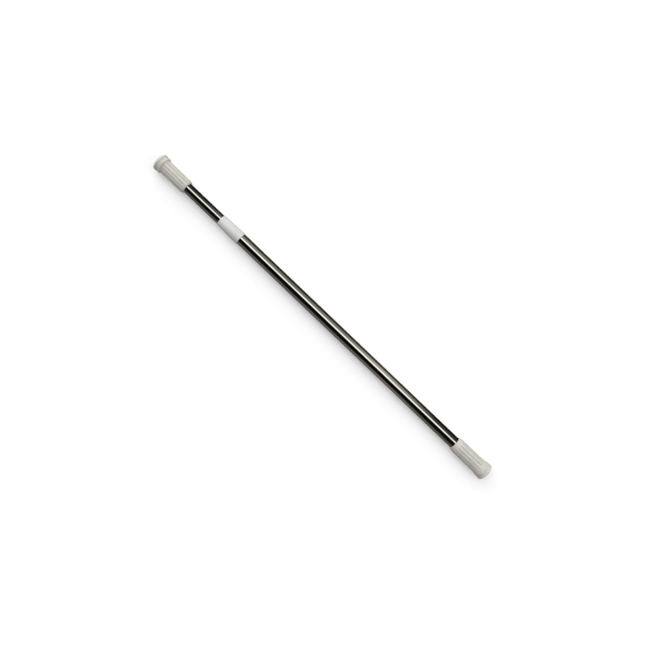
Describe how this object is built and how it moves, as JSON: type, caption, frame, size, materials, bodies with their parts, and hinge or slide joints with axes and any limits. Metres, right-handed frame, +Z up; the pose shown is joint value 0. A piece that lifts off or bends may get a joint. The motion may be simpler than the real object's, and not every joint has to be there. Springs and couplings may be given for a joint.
{
  "type": "doorway pull-up bar",
  "caption": "Telescoping doorway pull-up bar: chromed tubes on an inner screw, a tapered collar at their joint and a ribbed boot with a soft pad at each end.",
  "frame": {"origin": "centre of the outer tube's pad face, which is pressed against one door jamb", "axes": "+X along the bar from the outer tube's pad to the inner tube's pad; +Z up when the bar is in a doorway; +Y across the bar"},
  "size_m": [1.023, 0.0416, 0.0416],
  "materials": {
    "chrome": "bright chrome plate",
    "boot_pvc": "soft moulded PVC, warm light grey, fine grain",
    "collar_plastic": "smooth moulded plastic, cool white",
    "pad_rubber": "grey rubber, matt",
    "zinc_steel": "zinc plated steel",
    "nylon": "natural nylon"
  },
  "bodies": {
    "outer_assembly": {"outer_pad": "pad_rubber", "outer_boot": "boot_pvc", "outer_end_disc": "zinc_steel", "outer_tube": "chrome", "collar": "collar_plastic", "screw_rod": "zinc_steel", "anchor_plug": "zinc_steel", "anchor_pin": "zinc_steel", "stop_washer": "zinc_steel", "centring_bush": "nylon", "lock_nut": "zinc_steel"},
    "nut_guide": {"guide_ring": "nylon"},
    "inner_assembly": {"drive_nut": "zinc_steel", "nut_rivet_1": "zinc_steel", "nut_rivet_2": "zinc_steel", "nut_rivet_3": "zinc_steel", "inner_tube": "chrome", "inner_end_disc": "zinc_steel", "inner_boot": "boot_pvc", "inner_pad": "pad_rubber"}
  },
  "joints": [
    {"name": "tube_extension", "type": "slide", "parent": "outer_assembly", "child": "nut_guide", "axis": [1, 0, 0], "range_m": [-0.104, 0.144]},
    {"name": "tube_twist", "type": "hinge", "parent": "nut_guide", "child": "inner_assembly", "pos_m": [0, 0, 0], "axis": [1, 0, 0], "range_deg": [-9360, 12960]}
  ],
  "couplings": [
    {"joint": "tube_extension", "follows": "tube_twist", "m_per_rad": 0.00063662}
  ]
}
